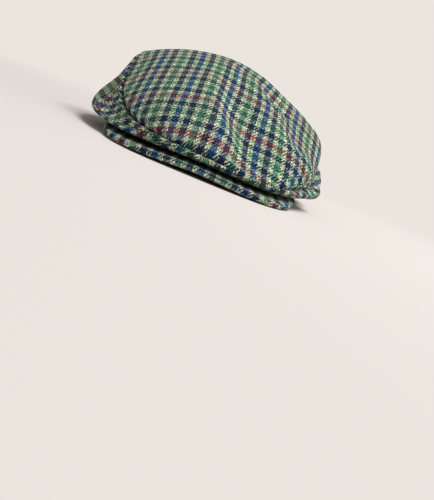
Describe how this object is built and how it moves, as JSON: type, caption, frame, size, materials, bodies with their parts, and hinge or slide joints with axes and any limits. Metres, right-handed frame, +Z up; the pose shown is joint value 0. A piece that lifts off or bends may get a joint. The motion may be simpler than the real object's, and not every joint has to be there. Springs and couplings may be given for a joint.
{
  "type": "flat cap",
  "caption": "Soft tweed flat cap: oval top panel, two bulging side panels and a short stiff peak under a draped front, open below for the head.",
  "frame": {"origin": "on the ground under the middle of the cap's bounding box", "axes": "+Z up through the crown, -Y towards the front where the peak is, +X towards the wearer's left"},
  "size_m": [0.2258, 0.27, 0.1001],
  "materials": {
    "check_wool": "soft woollen twill in a gun club check, matt and slightly fuzzy"
  },
  "bodies": {
    "root": {"top_panel": "check_wool", "side_panel_left": "check_wool", "side_panel_right": "check_wool", "peak": "check_wool"}
  },
  "joints": []
}
